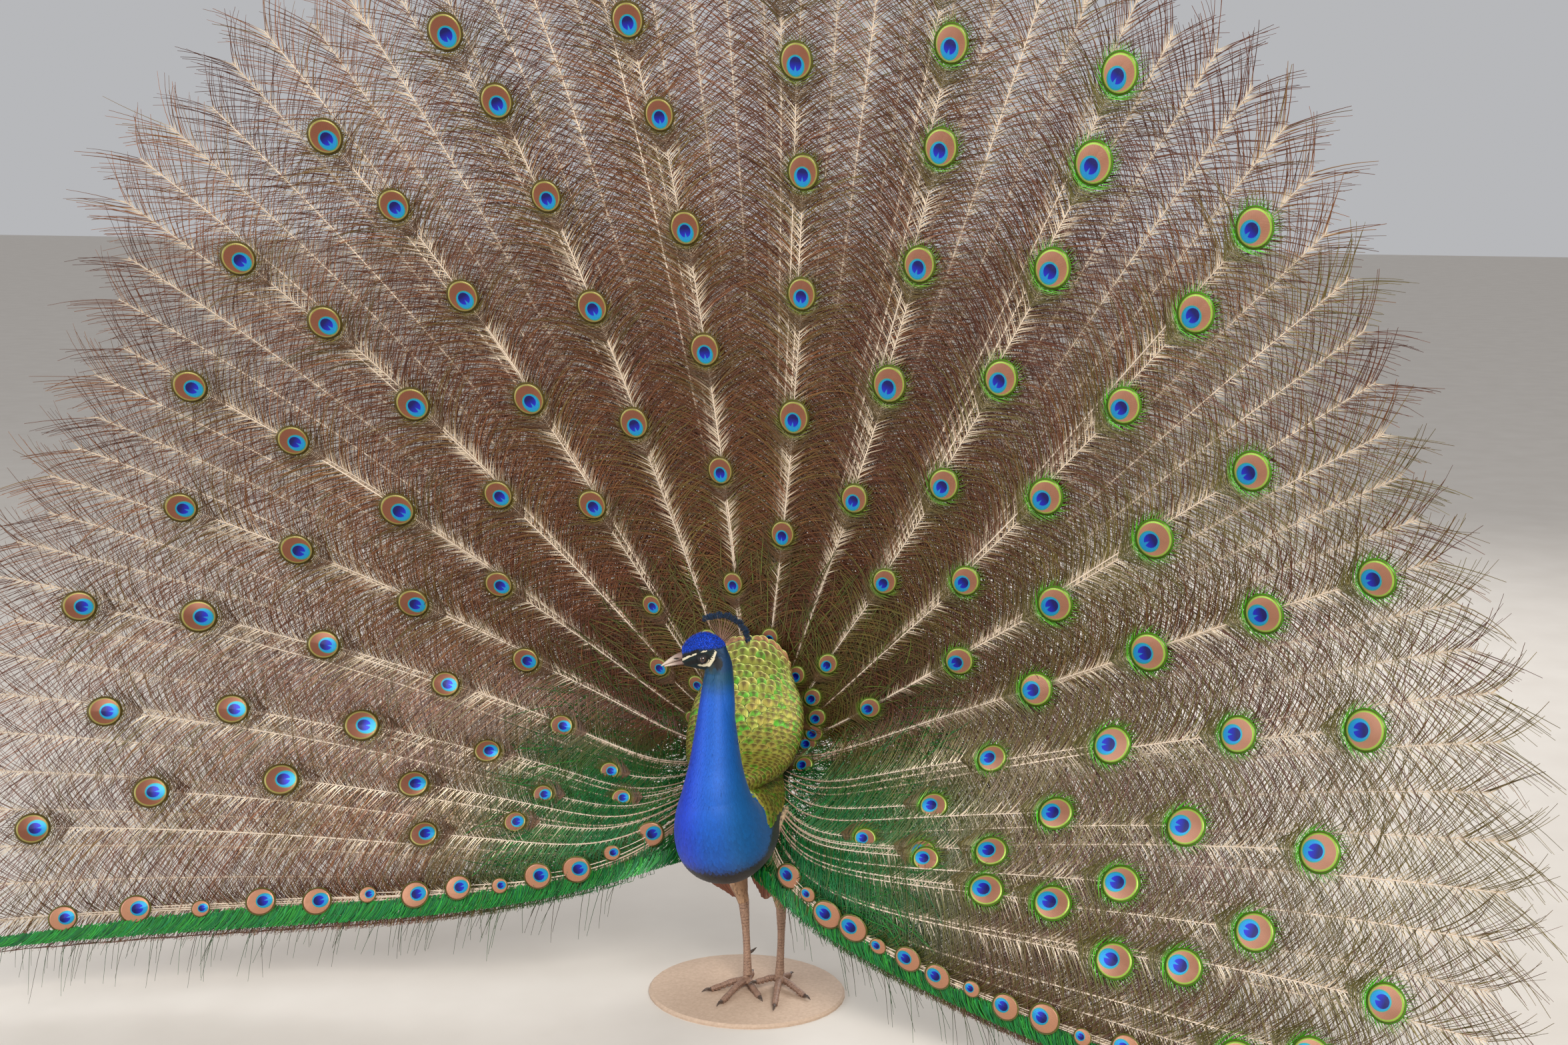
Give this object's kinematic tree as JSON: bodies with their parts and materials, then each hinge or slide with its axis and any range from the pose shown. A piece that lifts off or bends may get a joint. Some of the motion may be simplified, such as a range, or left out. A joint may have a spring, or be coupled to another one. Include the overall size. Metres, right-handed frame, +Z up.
{
  "type": "Indian peafowl, adult male in display",
  "caption": "Life-size still model of an Indian peacock standing in display, train spread in a full dish, head turned to its right, on a low plate.",
  "frame": {"origin": "on the floor, at the middle of the bounding box", "axes": "+Z up, -Y the way the spread train faces, +X the bird's left, across the train"},
  "size_m": [2.87, 0.8254, 2.1322],
  "materials": {
    "head_plumage": "matt, with a blue sheen on the crown",
    "eye": "wet gloss",
    "bill_horn": "satin horn",
    "crest_feathers": "matt",
    "neck_plumage": "velvety with a metallic blue sheen",
    "dark_plumage": "matt",
    "thigh_plumage": "matt",
    "wing_coverts": "matt",
    "primaries": "satin",
    "leg_scales": "dry horn scutes",
    "claw_horn": "satin horn",
    "mantle_scales": "metallic green-gold sheen",
    "train_green": "metallic green sheen",
    "train_feathers": "loose bronze barbs with a metallic sheen",
    "stand_plate": "matt, fine grained",
    "tail_feathers": "matt"
  },
  "bodies": {
    "root": {"head": "head_plumage", "eye_left": "eye", "eye_right": "eye", "bill_upper": "bill_horn", "bill_lower": "bill_horn", "crest": "crest_feathers", "neck_upper": "neck_plumage", "neck_lower": "neck_plumage", "breast": "neck_plumage", "belly_back": "dark_plumage", "rump": "dark_plumage", "wing_left": "wing_coverts", "primaries_left": "primaries", "wing_right": "wing_coverts", "primaries_right": "primaries", "foot_right": "leg_scales", "thigh_right": "thigh_plumage", "tarsus_right": "leg_scales", "spur_right": "claw_horn", "claw_right_outer": "claw_horn", "claw_right_middle": "claw_horn", "claw_right_inner": "claw_horn", "claw_right_hind": "claw_horn", "foot_left": "leg_scales", "thigh_left": "thigh_plumage", "tarsus_left": "leg_scales", "spur_left": "claw_horn", "claw_left_inner": "claw_horn", "claw_left_middle": "claw_horn", "claw_left_outer": "claw_horn", "claw_left_hind": "claw_horn", "mantle": "mantle_scales", "train_root": "train_green", "train_01": "train_feathers", "train_02": "train_feathers", "train_03": "train_feathers", "train_04": "train_feathers", "train_05": "train_feathers", "train_06": "train_feathers", "train_07": "train_feathers", "train_08": "train_feathers", "train_09": "train_feathers", "train_10": "train_feathers", "train_11": "train_feathers", "train_12": "train_feathers", "tail": "tail_feathers", "stand_base": "stand_plate"}
  },
  "joints": []
}
